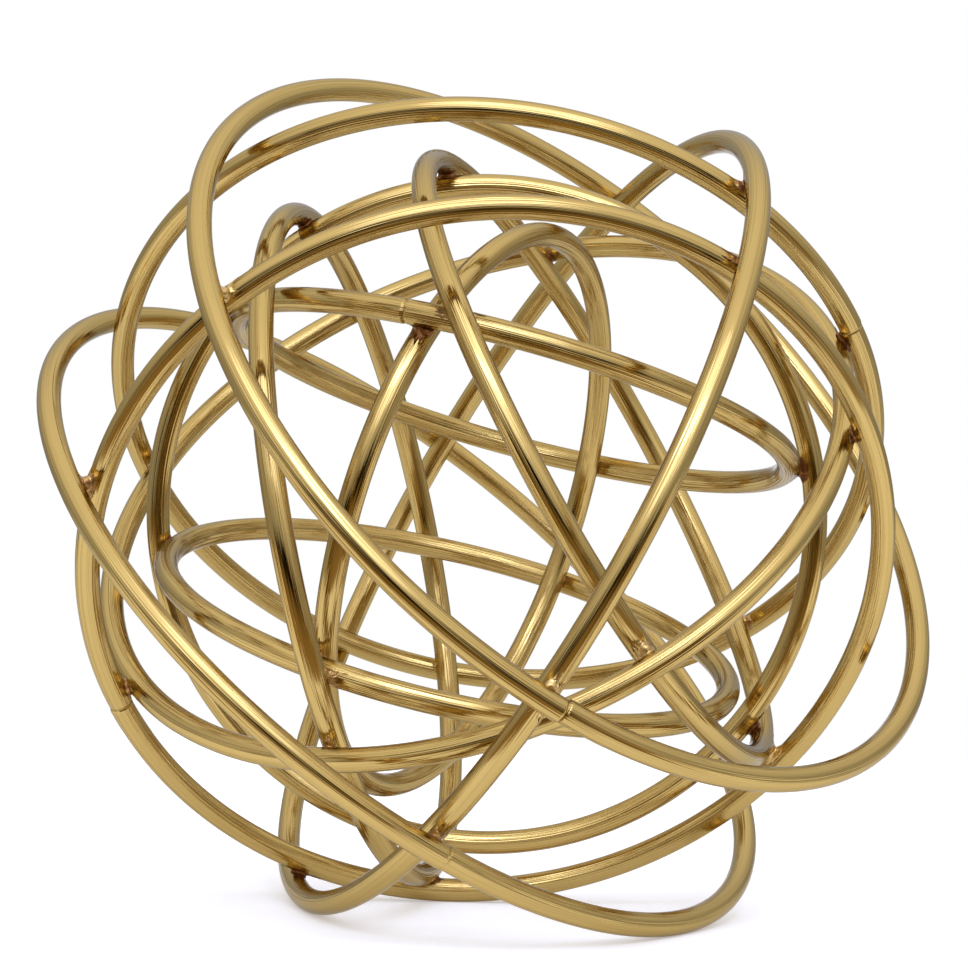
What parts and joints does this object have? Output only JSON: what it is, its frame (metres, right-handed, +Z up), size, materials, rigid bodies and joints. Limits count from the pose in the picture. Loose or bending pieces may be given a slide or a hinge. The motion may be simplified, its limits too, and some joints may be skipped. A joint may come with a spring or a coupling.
{
  "type": "wire sphere sculpture",
  "caption": "Ornamental open ball of round brass rod: nested hoops of stepped sizes, brazed where they cross, standing on its lowest hoops.",
  "frame": {"origin": "on the table top, under the middle of the ball's bounding box", "axes": "+Z up, -Y towards the viewer of the picture, +X to the viewer's right"},
  "size_m": [0.19, 0.1954, 0.1782],
  "materials": {
    "satin_brass_rod": "satin, brushed along the rod",
    "braze_filler": "dressed braze fillet, heat-tinted"
  },
  "bodies": {
    "root": {"hoop_outer_upper": "satin_brass_rod", "hoop_outer_lower": "satin_brass_rod", "hoop_outer_tie": "satin_brass_rod", "hoop_second_back": "satin_brass_rod", "hoop_second_front": "satin_brass_rod", "hoop_second_tie": "satin_brass_rod", "hoop_third_left": "satin_brass_rod", "hoop_third_right": "satin_brass_rod", "hoop_third_tie": "satin_brass_rod", "hoop_inner_upper": "satin_brass_rod", "hoop_inner_lower": "satin_brass_rod", "hoop_inner_tie": "satin_brass_rod", "braze_outer_upper_outer_tie_back": "braze_filler", "braze_outer_upper_outer_tie_front": "braze_filler", "braze_outer_upper_second_front_left": "braze_filler", "braze_outer_lower_outer_tie_back": "braze_filler", "braze_outer_lower_outer_tie_front": "braze_filler", "braze_outer_lower_second_front_left": "braze_filler", "braze_outer_tie_second_back_top": "braze_filler", "braze_outer_tie_second_front_bottom": "braze_filler", "braze_outer_tie_second_front_top": "braze_filler", "braze_second_back_second_tie_right": "braze_filler", "braze_second_back_second_tie_left": "braze_filler", "braze_second_back_third_left_bottom": "braze_filler", "braze_second_back_third_right_bottom": "braze_filler", "braze_second_front_second_tie_right": "braze_filler", "braze_second_front_second_tie_left": "braze_filler", "braze_second_front_third_left_bottom": "braze_filler", "braze_second_front_third_right_bottom": "braze_filler", "braze_second_tie_third_left_back": "braze_filler", "braze_second_tie_third_left_front": "braze_filler", "braze_second_tie_third_right_back": "braze_filler", "braze_second_tie_third_right_front": "braze_filler", "braze_third_left_third_tie_bottom": "braze_filler", "braze_third_left_third_tie_top": "braze_filler", "braze_third_left_inner_lower_front": "braze_filler", "braze_third_right_third_tie_bottom": "braze_filler", "braze_third_right_third_tie_top": "braze_filler", "braze_third_right_inner_upper_front": "braze_filler", "braze_third_tie_inner_upper_right": "braze_filler", "braze_third_tie_inner_lower_left": "braze_filler", "braze_inner_upper_inner_tie_back": "braze_filler", "braze_inner_upper_inner_tie_front": "braze_filler", "braze_inner_lower_inner_tie_back": "braze_filler", "braze_inner_lower_inner_tie_front": "braze_filler"}
  },
  "joints": []
}
